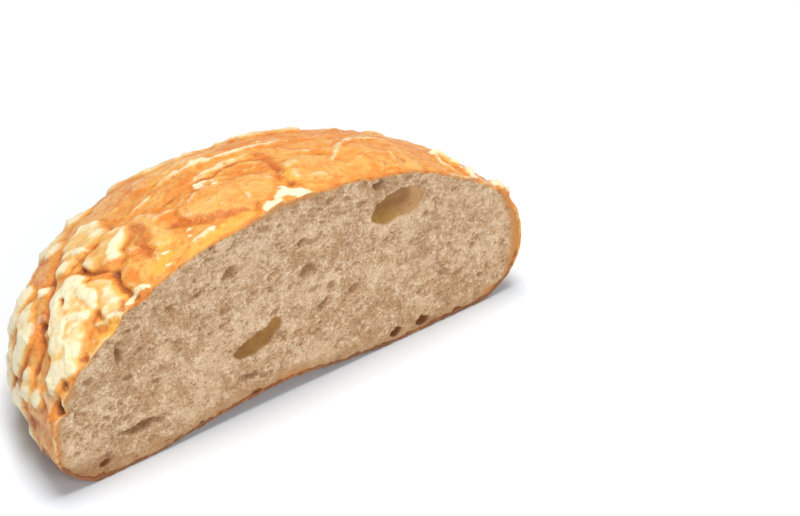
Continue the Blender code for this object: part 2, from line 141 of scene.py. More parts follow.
def hollows(points, size, seed, narrow, wide, flat=False):
    """Depth of round hollows, one in each cell. Narrow and wide are radii as shares of the cell's size."""
    places = points / size
    home = np.floor(places).astype(np.int64)
    deepest = np.zeros(len(points))
    for step in np.ndindex(3, 1 if flat else 3, 3):
        cell = home + step - np.array([1, 0 if flat else 1, 1])
        middle = cell + np.stack([chance(cell, seed + k) for k in range(3)], axis=1)
        gap = places - middle
        if flat:
            gap[:, 1] = 0
        radius = narrow + (wide - narrow) * chance(cell, seed + 3) ** 2
        deepest = np.maximum(deepest, np.maximum(radius**2 - (gap**2).sum(1), 0))
    return np.sqrt(deepest) * size


def ramp(values, start, end):
    """0 below start, 1 above end and a smooth slope between."""
    t = np.clip((values - start) / (end - start), 0, 1)
    return t * t * (3 - 2 * t)


def fade(values, start, end):
    """1 below start, 0 above end and a smooth slope between."""
    return 1 - ramp(values, start, end)


probes = np.array([[0.2, 0.2, 0.2], [1.2, 0.2, 0.2], [2.2, 0.2, 0.2]])
print("noise at three points, each a bump apart:", lumps(probes, 1.0, 0).round(2))

# %% [markdown]
# ## The plain loaf
# Under the cheese there is a round of dough that has sunk and spread, widest a little above the board and
# cut off flat by it. A lathe would make it too even, because this one is fuller on its left than on its
# right. Instead, one formula gives how far the crust is from the heart of the loaf in any direction. A
# place on the crust is then just a pair of angles: a bearing (0 right, 90 back, 180 left) and a height.

# %% The loaf's form, as distance from its heart
HEIGHT = 71 * MM
HEART_HEIGHT = 22 * MM
REACH_LEFT = 83.5 * MM
REACH_RIGHT = 85.5 * MM
REACH_BACK = 79.5 * MM
BELLY_DROP = 30 * MM
FULLNESS_LEFT = 1.98
FULLNESS_RIGHT = 1.87
FULLNESS_BACK = 1.76
FULLNESS_UNDER = 2.9
HEART = np.array([0, 0, HEART_HEIGHT])


def direction(bearing, angle):
    """Unit directions from the heart for places in degrees."""
    b, a = np.radians(bearing), np.radians(angle)
    return np.stack([np.cos(a) * np.cos(b), np.cos(a) * np.sin(b), np.sin(a)], axis=-1)


def plain_reach(directions):
    """Distance from the heart to the plain loaf along each direction."""
    level = np.maximum(np.hypot(directions[:, 0], directions[:, 1]), 1e-9)
    to_back = (directions[:, 1] / level) ** 2
    leftward = directions[:, 0] < 0
    reach = np.where(leftward, REACH_LEFT, REACH_RIGHT) * (1 - to_back) + REACH_BACK * to_back
    fullness = np.where(leftward, FULLNESS_LEFT, FULLNESS_RIGHT) * (1 - to_back) + FULLNESS_BACK * to_back
    upward = directions[:, 2] >= 0
    fullness = np.where(upward, fullness, FULLNESS_UNDER)
    rise = np.where(upward, HEIGHT - HEART_HEIGHT, BELLY_DROP)
    steep = np.abs(directions[:, 2])
    far = ((level / reach) ** fullness + (steep / rise) ** fullness) ** (-1 / fullness)
    to_base = np.where(upward, np.inf, HEART_HEIGHT / np.maximum(steep, 1e-9))
    return np.minimum(far, to_base)


def on_plain_crust(directions):
    return directions * plain_reach(directions)[:, None]


def spot(bearing, angle):
    """The one point of the plain crust at a place in degrees."""
    return on_plain_crust(direction([bearing], [angle]))[0]


sides = direction(np.array([0, 90, 180]), np.zeros(3))
print("right side, back and left side are", (plain_reach(sides) / MM).round(1), "mm from the heart")

# %% [markdown]
# ## Melted cheese, creases and holes
# The cheese lies in pools: thick pale lobes at the left end, thin golden skins over the top. A pool is a
# few round blobs that run together, flat in the middle and rounded at its edge. Creases run between the
# pools where bare crust shows. Each list gives places as angles, so it reads like a map of the loaf, and
# its sizes are in millimetres.

# %% A map of the pools, creases and holes
# pools: thickness, softness of the edge, then bearing, angle and radius of each blob
POOLS = (
    (3.0, 1.6, (
        (157, 25.5, 6), (161.5, 23, 7), (166.5, 25.5, 7), (165.5, 19.5, 5), (170, 21, 6.5),
        (170.5, 17, 5.5), (174.5, 19, 5), (175, 14.5, 5), (178.5, 16.5, 3.5), (174.5, 11, 4),
    )),
    (2.0, 1.8, ((168, 30.5, 5.5), (174, 31, 5.5), (179, 32.5, 4.5), (163, 29, 4))),
    (2.8, 1.6, (
        (144.5, 11, 6), (147, 6.5, 7), (152.5, 11.5, 6), (157.5, 10.5, 5.5), (158.5, 5.5, 6.5),
        (152, 1, 7), (155, -3, 5.5), (150, 17, 3.5),
    )),
    (2.4, 1.5, ((161, -1.5, 6), (166.5, 3.5, 5.5), (171.5, 5, 4.5), (165, 7, 4))),
    (2.6, 3.0, ((145, -5, 9), (152, -6, 10), (160, -6.5, 9), (167, -7.5, 7), (172.5, -9, 5))),
    (2.2, 1.8, ((147, 22.5, 5), (143, 25.5, 6), (138, 23.5, 6), (133, 26, 7), (140, 30, 6))),
    (1.7, 1.8, ((151.7, 30, 5), (149.5, 35.5, 6), (143, 36, 6), (155, 36, 4))),
    (1.2, 1.4, ((123, 64, 9), (106, 73, 9), (139, 58, 7), (146, 68, 7), (128, 76, 8))),
    (1.1, 1.4, ((31, 65, 10), (26, 50, 8), (44, 70, 8), (12, 62, 8), (14, 48, 8))),
    (1.1, 1.4, ((12, 39, 7), (5, 33, 7), (3, 42, 6))),
    (1.3, 1.5, ((149.5, 44.5, 8), (153, 39.5, 6), (158, 49, 6), (140, 43, 6))),
    (0.9, 0.7, ((165, 82, 3.2), (170, 87.5, 2.6), (10, 84.5, 2.2), (80, 83, 2.8))),
    (2.6, 0.9, ((14, 24, 2.6), (11.5, 23.2, 2.4), (8, 22.4, 2.6), (2.6, 22.4, 3.2))),
    (2.8, 0.9, ((1.8, 13.4, 3.0), (1.6, 10.5, 2.6))),
    (2.2, 1.6, ((128, 12, 7), (122, 8, 6), (118, 14, 7), (126, 3, 6), (133, 16, 5))),
    (1.8, 1.6, ((97, 22, 8), (90, 18, 7), (103, 16, 6), (88, 27, 6))),
    (2.0, 1.6, ((68, 30, 8), (61, 25, 7), (72, 22, 6), (56, 32, 6))),
    (1.7, 1.6, ((38, 14, 7), (31, 10, 6), (44, 9, 7), (34, 20, 5))),
    (1.4, 1.5, ((104, 36, 7), (95, 39, 8), (112, 33, 6))),
    (1.5, 1.5, ((17, 12, 5), (12, 8, 5), (19, 5, 6))),
)
# creases: width, depth and the places they run through
CREASES = (
    (3.6, 2.6, (
        (138, 18), (148.5, 18.4), (155, 18.6), (161, 16.8), (160.5, 14.5), (164.5, 13), (167, 9.5),
    )),
    (2.8, 2.4, ((152, 26.8), (157, 30.5), (160.4, 33.8), (166, 34.2), (172, 35), (180, 38))),
    (4.0, 1.6, ((150, 41.5), (157, 38), (163, 35))),
    (5.0, 1.3, ((149.5, 52), (155, 61), (157.7, 71), (150, 79))),
    (2.6, 1.6, ((88, 53), (72, 58.5), (66, 66.8), (54, 80))),
    (2.4, 1.3, ((131, 45), (123, 48), (114.5, 50.3), (101, 53.5), (88, 54))),
    (5.0, 1.6, ((161, -8), (168, -3.5), (173, -1.5), (177.5, -1))),
    (1.8, 1.3, ((170, 10), (172.5, 7), (175, 2))),
    (3.4, 1.6, ((176, 24.5), (180, 26.5))),
)
# holes: bearing, angle, radius and depth
PITS = (
    (178.4, 7.6, 2.7, 4.5),
    (161.5, 22.5, 1.1, 1.5),
    (159.5, 14.9, 1.8, 2.2),
    (179.2, 19.2, 1.3, 0.9),
    (178.8, 12.6, 1.4, 1.2),
)
print(len(POOLS), "pools,", len(CREASES), "creases and", len(PITS), "holes")

# %% Lines on the crust, and the height of a pool
SOFT_UNION = 1.8 * MM
UNION_GROWTH = 1.0 * MM  # how much the blobs grow where they run together


def line_on_crust(places, count):
    """Points on the plain crust along a smooth line through places."""
    knots = np.array(places, float)
    ends = np.concatenate([[2 * knots[0] - knots[1]], knots, [2 * knots[-1] - knots[-2]]])
    samples = []
    for t in np.linspace(0, len(knots) - 1, count):
        leg = min(int(t), len(knots) - 2)
        a, b, c, d = ends[leg : leg + 4]
        s = t - leg
        samples.append(0.5 * (2 * b + (c - a) * s + (2 * a - 5 * b + 4 * c - d) * s**2
                              + (3 * b - a - 3 * c + d) * s**3))
    samples = np.array(samples)
    return on_plain_crust(direction(samples[:, 0], samples[:, 1]))


def near_line(points, line):
    """Distance of each point from a line of points, and how far along the line it is, from 0 to 1."""
    nearest = np.full(len(points), np.inf)
    share = np.zeros(len(points))
    for i, (start, end) in enumerate(zip(line[:-1], line[1:])):
        leg = end - start
        along = np.clip((points - start) @ leg / (leg @ leg), 0, 1)
        away = np.linalg.norm(points - start - along[:, None] * leg, axis=1)
        share = np.where(away < nearest, (i + along) / (len(line) - 1), share)
        nearest = np.minimum(nearest, away)
    return nearest, share


def pool_height(points, thickness, softness, blobs):
    total = np.zeros(len(points))
    for bearing, angle, radius in blobs:
        inside = radius * MM - UNION_GROWTH - np.linalg.norm(points - spot(bearing, angle), axis=1)
        total += np.exp(np.clip(inside / SOFT_UNION, -40, 40))
    depth_inside = SOFT_UNION * np.log(np.maximum(total, 1e-12))
    return thickness * MM * np.tanh(np.maximum(depth_inside, 0) / (softness * MM))


first_crease = line_on_crust(CREASES[0][2], 40)
legs = np.linalg.norm(np.diff(first_crease, axis=0), axis=1)
print("the first crease is", round(legs.sum() / MM, 1), "mm long")

# %% [markdown]
# ## Shreds of cheese
# Grated shreds that didn't melt flat stay as rounded ridges, two or three millimetres wide, pale against
# the browned crust. They could be separate tubes, but a melted shred has no underside: it flows into the
# crust on both sides. So a shred is a ridge in the height of the crust, thinner towards its ends. The
# largest are placed one by one, and seeded ones fill the back and the sides.

# %% Where the shreds lie
SHREDS = (
    (2.2, ((144.5, 46.6), (139.4, 49.6), (133.1, 53.1), (121.1, 54.3))),
    (2.0, ((112, 53.7), (109.8, 55.9), (105, 58), (100, 58.5))),
    (1.8, ((94.5, 60.7), (84.5, 62), (75.8, 63.9))),
    (2.0, ((60.3, 57.5), (46.6, 54.8), (35.6, 51.2))),
    (2.6, ((24.3, 63), (30.6, 52.6), (33.1, 43.4), (27.9, 35.6), (19.5, 32.4))),
    (1.6, ((15.5, 61.7), (17.4, 54.5), (18.5, 47.1))),
    (3.0, ((115, 38.7), (102.3, 43.6), (87, 47), (72.6, 48.7), (57.6, 46.7))),
    (2.4, ((124.2, 48.6), (110, 51.4), (99.3, 52), (80, 53))),
    (2.2, ((170.5, 55.6), (169.5, 59.8), (168, 64))),
    (2.4, ((14.1, 23.9), (8, 26.3), (2.8, 26.1))),
    (2.4, ((172.5, 8.4), (175.5, 6.5), (179, 3))),
    (2.2, ((173.7, 25.2), (176.3, 28.2), (179, 31.5))),
    (2.2, ((132, 36), (125, 40), (120, 41.5))),
    (2.0, ((40, 38), (46, 43), (52, 44.5))),
)
TRIES = 12  # places that are drawn for each seeded shred


def scattered(count, seed, bearings, angles, lengths, widths, taken):
    """Seeded shreds, each at the roomiest of a few places."""
    draw = np.random.default_rng(seed)
    taken = [spot(*np.mean(places, axis=0)) for _, places in taken]
    made = []
    for _ in range(count):
        spots = np.stack([draw.uniform(*bearings, TRIES), draw.uniform(*angles, TRIES)], axis=1)
        on_crust = on_plain_crust(direction(spots[:, 0], spots[:, 1]))
        best = int(np.argmax(np.linalg.norm(on_crust[:, None] - np.array(taken), axis=2).min(1)))
        taken.append(on_crust[best])
        bearing, angle = spots[best]
        half = np.degrees(0.5 * draw.uniform(*lengths) * MM / np.linalg.norm(on_crust[best]))
        heading = draw.uniform(0, math.pi)
        bend = draw.uniform(-0.7, 0.7)
        places = []
        for s in (-1, 0, 1):
            turned = heading + bend * s
            places.append((bearing + half * s * math.cos(turned) / math.cos(math.radians(angle)),
                           angle + half * s * math.sin(turned)))
        made.append((draw.uniform(*widths), tuple(places)))
    return made


large = list(SHREDS) + scattered(
    16, seed=11, bearings=(14, 150), angles=(-6, 40), lengths=(9, 22), widths=(2, 3), taken=SHREDS)
fine = scattered(
    70, seed=23, bearings=(4, 150), angles=(2, 78), lengths=(4, 12), widths=(0.9, 1.5), taken=large)
print(len(large), "large shreds and", len(fine), "fine ones")

# %% [markdown]
# ## Where the oven left its marks
# Some places stand out by colour more than by shape: red-brown valleys where fat ran and burnt, cream
# streaks of cheese that stayed thick, and yellow fat along the cut. They are lines too, with a soft and
# wandering edge. Random noise alone wouldn't do, because the eye remembers these few places.

# %% Map of the stains and streaks
REDDENED = (
    (5, ((149.5, 53.4), (153.6, 59.5), (155.1, 67.1), (157.7, 73.6))),
    (4, ((73.5, 55.3), (69.9, 60.6), (67.3, 69.3), (66, 77.1))),
    (5, ((143.9, 41.3), (152.4, 44.3), (161.2, 44.8))),
    (3, ((10.3, 42.2), (6, 42.1))),
    (4, ((142.2, 20.2), (151.8, 19.3), (156, 16.6), (159.7, 14), (164.6, 12.4))),
    (4, ((164.7, -5), (172.1, -0.9), (177.5, 0.9))),
    (7, ((160, -13), (172, -12), (180, -14))),
    (3, ((176.5, 33), (178, 31.5), (180, 32))),
)
PALE = (
    (4.0, ((171.8, 81.2), (145.1, 86.8), (0.4, 83.6))),
    (3.4, ((77.9, 82.7), (61.6, 85.6))),
    (1.7, ((170, 56.2), (169.3, 60.4), (168.4, 63.5))),
    (1.2, ((167, 63.5), (168.7, 66.1))),
    (1.4, ((159, 55.5), (158.8, 57))),
    (1.4, ((162.4, 53.3), (165.3, 56.3))),
    (1.8, ((131.1, 55.8), (134.2, 57.1))),
    (1.2, ((162.5, 47), (167.6, 45.6))),
    (1.4, ((166.6, 48.1), (166.7, 49.8))),
    (1.2, ((173.8, 46.9), (174.1, 48))),
    (2.6, ((117.1, 55.2), (112.1, 54.9), (109.7, 57.5), (111.9, 59.7))),
    (2.6, ((178, 40), (176, 37), (179, 34))),
    (3.0, ((14.5, 24), (10, 22.4), (6, 21.8), (1.6, 22.6))),
    (3.0, ((1.8, 14), (1.2, 10.6))),
)
YELLOWED = (
    (5, ((176.4, 55.4), (173.3, 66.3), (165.9, 76))),
    (5, ((63.9, 72.2), (50.4, 79.2), (70.2, 81.8))),
    (7, ((179, 25.3), (179.3, 28.2), (180, 30))),
    (5, ((179.9, 21.9), (179.8, 24.4))),
    (6, ((163.1, 30.1), (168.2, 32), (174.7, 33.6))),
    (6, ((172, 44), (168, 50), (160, 50))),
)
print(len(REDDENED), "stains,", len(PALE), "pale streaks and", len(YELLOWED), "yellow ones")


def painted(points, lines):
    """How strongly lines of the given widths cover each point, from 0 to 1."""
    cover = np.zeros(len(points))
    for width, places in lines:
        away, _ = near_line(points, line_on_crust(places, 6 * len(places)))
        cover = np.maximum(cover, np.exp(-((away / (0.5 * width * MM)) ** 2)))
    return cover


# %% [markdown]
# ## Height of the whole crust
# Everything on the crust is added up as one height over the plain loaf: slow swells of the dough, pools,
# creases, holes, shreds, then fine blisters and wrinkles. Adding heights could be done with modifiers and
# textures, but plain arithmetic also leaves a useful by-product: how much cheese lies at each point, which
# colours the material later.

# %% Add up the relief
SWELLS = ((34 * MM, 1.1 * MM), (15 * MM, 0.7 * MM))  # bump size and height
CHEESE_SHARE = 0.75  # how much of a pool's thickness stands up, as the rest has sunk into the dough
CREASE_SHARE = 0.6
SHRED_SHARE = 0.6  # height of a shred as a share of its half width
BLISTERS = ((4.0 * MM, 0.22 * MM, 50), (1.8 * MM, 0.20 * MM, 51))  # bump size, height and seed
WRINKLE_WIDTH = 0.12  # a wrinkle runs where the noise is this close to zero
WRINKLE_DEPTH = 1.1 * MM
FOLD_WIDTH = 0.16
FOLD_RISE = 3.5 * MM
PLEAT_RISE = 0.25 * MM
THICK_CHEESE = (1 * MM, 2.4 * MM)  # folds and pleats grow between these thicknesses
BASE_FADE = 6 * MM
PIT_EDGE = 0.18  # softness of a hole's edge, as a share of its radius
PALE_RISE = 0.5 * MM
RED_SINK = 0.35 * MM
ARCH_RISE = 4.6 * MM
ARCH_MIDDLE = -8 * MM
ARCH_HALF_WIDTH = 48 * MM
ARCH_DEPTH = 42 * MM


def arch_height(across, behind):
    """How far the base stands off the board, most in the middle of the cut."""
    aside = np.clip((across - ARCH_MIDDLE) / ARCH_HALF_WIDTH, -1, 1)
    behind = np.clip(behind / ARCH_DEPTH, -1, 1)
    return ARCH_RISE * ((1 - aside**2) * (1 - behind**2)) ** 2


def shred_height(points, shreds):
    total = np.zeros(len(points))
    for width, places in shreds:
        line = line_on_crust(places, 5 * len(places))
        around = line.mean(0)
        extent = np.linalg.norm(line - around, axis=1).max() + width * MM
        close = np.linalg.norm(points - around, axis=1) < extent
        away, share = near_line(points[close], line)
        half = 0.5 * width * MM * np.maximum(np.sin(math.pi * (0.04 + 0.92 * share)), 0) ** 0.4
        ridge = SHRED_SHARE * half * np.sqrt(np.maximum(1 - (away / half) ** 2, 0))
        total[close] = np.maximum(total[close], ridge)
    return total


def crust_surface(directions):
    """Points of the crust in each direction, and what its material needs to know about each."""
    plain = on_plain_crust(directions)
    points = wavy(wavy(plain, 7 * MM, 3, 1.1 * MM), 2.4 * MM, 6, 0.55 * MM)
    height = sum(rise * lumps(plain, size, seed) for seed, (size, rise) in enumerate(SWELLS))
    cheese = sum(pool_height(points, *pool) for pool in POOLS)
    crease = np.zeros(len(points))
    for width, depth, places in CREASES:
        away, _ = near_line(points, line_on_crust(places, 6 * len(places)))
        crease += depth * MM * np.exp(-((away / (0.5 * width * MM)) ** 2))
    pit = np.zeros(len(points))
    for bearing, angle, radius, depth in PITS:
        away = np.linalg.norm(points - spot(bearing, angle), axis=1)
        pit += depth * MM / (1 + np.exp(np.minimum((away / MM - radius) / (PIT_EDGE * radius), 50)))
    torn = wavy(wavy(plain, 5 * MM, 38, 0.8 * MM), 1.6 * MM, 41, 0.35 * MM)
    shreds = shred_height(torn, large + fine)
    blisters = sum(rise * lumps(plain, size, seed) for size, rise, seed in BLISTERS)
    blisters += 0.25 * hollows(plain, 2.8 * MM, 52, 0.1, 0.45) * ramp(lumps(plain, 13 * MM, 56), -0.3, 0.4)
    valleys = np.abs(lumps(wavy(plain, 4 * MM, 60, 2 * MM), 9 * MM, 61))
    wrinkles = -WRINKLE_DEPTH * np.maximum(WRINKLE_WIDTH - valleys, 0)
    over_base = np.clip((plain[:, 2] + HEART_HEIGHT) / BASE_FADE, 0, 1)
    wandering = wavy(wavy(plain, 6 * MM, 43, 1.6 * MM), 2.0 * MM, 46, 0.7 * MM)
    red, pale, yellow = (painted(wandering, lines) for lines in (REDDENED, PALE, YELLOWED))
    folds = np.maximum(FOLD_WIDTH - np.abs(lumps(wavy(plain, 5 * MM, 66, 2 * MM), 8 * MM, 62)), 0)
    pleats = (PLEAT_RISE * lumps(plain, 5 * MM, 68) + FOLD_RISE * folds) * ramp(cheese, *THICK_CHEESE)
    height += CHEESE_SHARE * cheese - CREASE_SHARE * crease - pit + shreds + blisters + pleats + wrinkles
    height += PALE_RISE * pale - RED_SINK * red
    surface = directions * (plain_reach(directions) + height * over_base)[:, None]
    surface[:, 2] += HEART_HEIGHT
    arch = arch_height(surface[:, 0], surface[:, 1])
    ragged = 0.5 * MM * np.abs(lumps(surface, 1.5 * MM, 44))
    ragged += 0.8 * MM * np.maximum(lumps(surface, 4 * MM, 45), 0)
    arch += ragged * fade(surface[:, 1], 0.5 * MM, 5 * MM)
    surface[:, 2] = np.maximum(surface[:, 2], arch)
    marks = {"cheese": cheese / (3 * MM), "shred": shreds / MM, "crease": (crease + pit) / MM,
             "red": red, "pale": pale, "yellow": yellow}
    return surface, marks


top_point = crust_surface(direction(np.array([90.0]), np.array([88.0])))[0][0]
print("the crust is", round(top_point[2] / MM, 1), "mm high in the middle of the cut")

# %% [markdown]
# ## A grid wrapped round half a loaf
# A globe's grid crowds its poles. A square grid bent into a half sphere doesn't: the square is pressed
# into a disc, and the disc is bulged out. Its border then lies exactly on the knife's cut. Rows under the
# loaf, where nothing shows, are spread wider, so that more of the mesh goes to the crust that is seen.

# %% Wrap the grid
GRID_SQUASH = 0.62


def grid_lines(count, share_above, turn_at):
    """Values from -1 to 1, with the given share of them above turn_at."""
    above = int(count * share_above)
    under_turn = np.linspace(-1, turn_at, count - above + 1)[:-1]
    return np.concatenate([under_turn, np.linspace(turn_at, 1, above + 1)])


def disc_grid(across, rows):
    """Places in a disc for each point of a square grid, right on its edge for the grid's border."""
    u, v = np.meshgrid(across, rows, indexing="ij")
    return u * np.sqrt(1 - v * v / 2), v * np.sqrt(1 - u * u / 2)


def wrapped(x, z):
    """Directions behind the cut for places in the disc."""
    inward = np.maximum(1 - x * x - z * z, 0)
    inward[np.hypot(x, z) > 1 - 1e-9] = 0
    spread = np.sqrt(1 + inward)
    found = np.stack([x * spread, inward, z * spread * GRID_SQUASH], axis=-1).reshape(-1, 3)
    return found / np.linalg.norm(found, axis=1, keepdims=True)


def grid_faces(wide, tall):
    """Faces of a grid of points, and its border in order."""
    at = np.arange(wide * tall).reshape(wide, tall)
    faces = np.stack([at[:-1, :-1], at[:-1, 1:], at[1:, 1:], at[1:, :-1]], axis=-1).reshape(-1, 4)
    border = np.concatenate([at[:-1, 0], at[-1, :-1], at[:0:-1, -1], at[0, :0:-1]])
    return faces, border


def band(ring, following):
    """Faces between two closed rings of the same number of points."""
    return np.stack([ring, following, np.roll(following, -1), np.roll(ring, -1)], axis=-1)


small_faces, small_border = grid_faces(4, 4)
print("a grid of 4 by 4 points has", len(small_faces), "faces and", len(small_border), "points on its border")

# %% [markdown]
# ## The rim of the cut
# The knife shows the crust's thickness: a thin and uneven line all round the crumb, ragged along the base.
# Both the crust and the crumb need this line, so it is worked out once, as two loops round the cut.

# %% Two loops round the cut
RIM_POINTS = 1600
CRUST_TOP = 0.9 * MM
CRUST_BASE = 1.0 * MM
turns = np.linspace(-math.pi, math.pi, RIM_POINTS, endpoint=False)
rim_directions = wrapped(np.cos(turns), np.sin(turns))
outer_rim = crust_surface(rim_directions)[0][:, [0, 2]] - HEART[[0, 2]]


def in_space(loop, behind=0.0):
    """Points in space for points of the cut, each given by how far right and how high it is."""
    return np.stack([loop[:, 0], np.full(len(loop), behind), loop[:, 1]], axis=1)


def softened_loop(values, times):
    for _ in range(times):
        values = (np.roll(values, 1, axis=0) + values + np.roll(values, -1, axis=0)) / 3
    return values


def crust_thickness(outer):
    """Thickness of the crust at points of the outer loop, uneven as baked crust is."""
    points = in_space(outer)
    low_down = fade(outer[:, 1] + HEART_HEIGHT, 4 * MM, 16 * MM)
    uneven = 1 + 0.4 * lumps(points, 5 * MM, 70) + 0.35 * lumps(points, 1.6 * MM, 71)
    return (CRUST_TOP + (CRUST_BASE - CRUST_TOP) * low_down) * uneven


EVEN_OUT = 60  # rounds of softening that leave only the loaf's broad outline
smooth_rim = softened_loop(outer_rim, EVEN_OUT)
along = np.roll(smooth_rim, -1, axis=0) - np.roll(smooth_rim, 1, axis=0)
outwards = np.stack([along[:, 1], -along[:, 0]], axis=1)
outwards /= np.linalg.norm(outwards, axis=1, keepdims=True)
rim_reach = np.linalg.norm(outer_rim, axis=1)
facing = np.clip((outwards * outer_rim).sum(1) / rim_reach, 0.75, 1)
thickness = crust_thickness(outer_rim)
side_reach = rim_reach - thickness / facing
RAGGED = 1.5 * MM  # how far torn crust may stand up from the base
UNDER_HEART = 8 * MM  # the base can cut the crust off only this far under the heart or lower
straight_base = arch_height(outer_rim[:, 0], 0) - HEART_HEIGHT
on_base = outer_rim[:, 1] < straight_base + RAGGED
base_start, base_end = np.flatnonzero(on_base)[[0, -1]]
under = slice(base_start, base_end + 1)
beside_base = side_reach[base_start - 1], side_reach[base_end + 1]
side_reach[under] = np.where(turns[under] < -math.pi / 2, *beside_base)
drop = np.minimum(outer_rim[:, 1] / rim_reach, -0.05)
base_height = np.where(on_base, outer_rim[:, 1], straight_base) + thickness
base_reach = np.where(outer_rim[:, 1] < -UNDER_HEART, base_height / drop, np.inf)
inner_reach = softened_loop(np.minimum(side_reach, base_reach), 3)
inner_rim = outer_rim * (inner_reach / rim_reach)[:, None]
thinnest, thickest = (thickness.min() / MM).round(2), (thickness.max() / MM).round(2)
print("the crust at the cut is", thinnest, "to", thickest, "mm thick")


def at_turn(loop, turn):
    """Points of a loop at the given turns round it."""
    circle = np.append(turns, math.pi)
    closed = np.vstack([loop, loop[:1]])
    return np.stack([np.interp(turn, circle, closed[:, k]) for k in (0, 1)], axis=1)


# %% [markdown]
# ## The crust as one closed shell
# A shell with an outside, a narrow strip at the cut and an inside is closed, so it can be weighed or
# printed, and light that sinks into the cheese has something to travel through. The inside never shows, so
# it is a few coarse rings that dive well below the deepest hole.

# %% Build the crust
TAPER = 1.15  # above 1 the rings draw in faster than those of a round dome


def backward_rings(loop, reach, steps):
    """Rings that start at a loop in the cut and close towards the back, and the point that ends them."""
    rings = []
    for step in steps:
        rings.append(in_space(loop * math.cos(step) ** TAPER, reach * math.sin(step) ** TAPER) + HEART)
    return rings, HEART + np.array([0, reach, 0])


def closed_piece(name, front, front_faces, border, rings, tip):
    """One closed mesh from a grid of points, rings that follow its border and a tip."""
    points = np.vstack([front, *rings, tip])
    faces = front_faces.tolist()
    previous = border
    for i in range(len(rings)):
        ring = len(front) + i * len(border) + np.arange(len(border))
        faces += band(previous, ring).tolist()
        previous = ring
    faces += [(a, len(points) - 1, b) for a, b in zip(previous, np.roll(previous, -1))]
    mesh = bpy.data.meshes.new(name)
    mesh.from_pydata((points + MIDDLE).tolist(), [], faces)
    form = bmesh.new()
    form.from_mesh(mesh)
    bmesh.ops.recalc_face_normals(form, faces=form.faces)
    form.to_mesh(mesh)
    form.free()
    mesh.shade_smooth()
    print(name, "has", sum(len(f) - 2 for f in faces), "triangles")
    return add_object(name, mesh)


def keep_mark(piece, name, values, rest=0.0):
    """Stores a number at each point of the mesh for its material."""
    filled = np.full(len(piece.data.vertices), rest, np.float32)
    filled[: len(values)] = values
    piece.data.attributes.new(name, "FLOAT", "POINT").data.foreach_set("value", filled)


CRUST_GRID = 281
SHARE_SEEN = 0.8  # share of the rows that lie above the loaf's underside
UNDERSIDE = -0.42
INSIDE_SCALE = 0.955  # the shell's inside, beside the strip's inner edge
INSIDE_DEPTH = 71 * MM
INSIDE_STEPS = np.radians([12, 32, 52, 72])
SHARP_FROM = math.radians(70)  # edges bent more than this aren't smoothed over
crust_rows = grid_lines(CRUST_GRID - 1, SHARE_SEEN, UNDERSIDE)
disc_x, disc_z = disc_grid(np.linspace(-1, 1, CRUST_GRID), crust_rows)
crust_points, marks = crust_surface(wrapped(disc_x, disc_z))
crust_faces, crust_border = grid_faces(CRUST_GRID, CRUST_GRID)
border_turn = np.arctan2(disc_z.ravel()[crust_border], disc_x.ravel()[crust_border])
inner_loop = at_turn(inner_rim, border_turn)
strip = in_space(inner_loop) + HEART
inside_rings, inside_tip = backward_rings(inner_loop * INSIDE_SCALE, INSIDE_DEPTH, INSIDE_STEPS)
crust = closed_piece("crust", crust_points, crust_faces, crust_border, [strip, *inside_rings], inside_tip)
crust.data.set_sharp_from_angle(angle=SHARP_FROM)

# %% [markdown]
# ## What the crust remembers about its shape
# Baked cheese is pale where it is thick, golden where it is thin and brown in every crease. The first is
# known already. The last is found by comparing the surface with a softened copy of itself: what lies lower
# than its surroundings is a crevice. The material paints crevices darker, partly for the bare crust there
# and partly as painted shade, and raised places paler as painted highlight. Both go into the mesh as
# numbers that the material reads.

# %% Store cheese, crevices and the base
FINE_ROUNDS = 14  # rounds of softening that lose only narrow crevices
BROAD_ROUNDS = 70
STRIP_PALER = 0.65  # how much less toasted the strip at the cut is high up than at the base
STRIP_LEFT_DARKER = 0.6  # how much darker the strip is made at the low left corner
STRIP_RIGHT_PALER = 0.2
CORNER_DARKER = 0.8  # how much darker the crust is made behind that corner


def softened_grid(values, times):
    for _ in range(times):
        padded = np.pad(values, 1, mode="edge")
        above_and_below = padded[:-2, 1:-1] + padded[2:, 1:-1]
        values = (above_and_below + padded[1:-1, :-2] + padded[1:-1, 2:] + 2 * values) / 6
    return values


reach = np.linalg.norm(crust_points - HEART, axis=1).reshape(CRUST_GRID, CRUST_GRID)
narrow_crevice = (softened_grid(reach, FINE_ROUNDS) - reach).ravel() / MM
wide_crevice = (softened_grid(reach, BROAD_ROUNDS) - reach).ravel() / MM
marks["crevice"] = np.clip(narrow_crevice, -1, 1) + 0.5 * np.clip(wide_crevice, -1, 1)
strip_x, _, strip_z = strip.T
strip_base = 1 - STRIP_PALER * ramp(strip_z, 2 * MM, 20 * MM)
strip_base += STRIP_LEFT_DARKER * fade(strip_x, -80 * MM, -60 * MM) * fade(strip_z, 6 * MM, 14 * MM)
strip_base -= STRIP_RIGHT_PALER * ramp(strip_x, 60 * MM, 78 * MM) * ramp(strip_z, 8 * MM, 16 * MM)
crust_x, crust_y, crust_z = crust_points.T
left_corner = ramp(-crust_x, 60 * MM, 80 * MM) * fade(crust_y, 6 * MM, 20 * MM)
low_crust = fade(crust_z, 2 * MM, 13 * MM) + CORNER_DARKER * left_corner * fade(crust_z, 9 * MM, 18 * MM)
marks["low"] = fade(crust_z, 8 * MM, 17 * MM)
marks["base"] = np.concatenate([low_crust, strip_base])
for name, values in marks.items():
    keep_mark(crust, name, values)
print("crevices from", narrow_crevice.min().round(2), "to", narrow_crevice.max().round(2), "mm")

# %% [markdown]
# ## The crumb
# The cut shows thousands of gas cells. A Boolean for each would be hopeless, and bump alone gives no real
# shadows, so the cut is a fine grid whose points are pushed into the loaf: large bubbles placed one by
# one, then three sizes of seeded round hollows that overlap and leave thin walls between them.

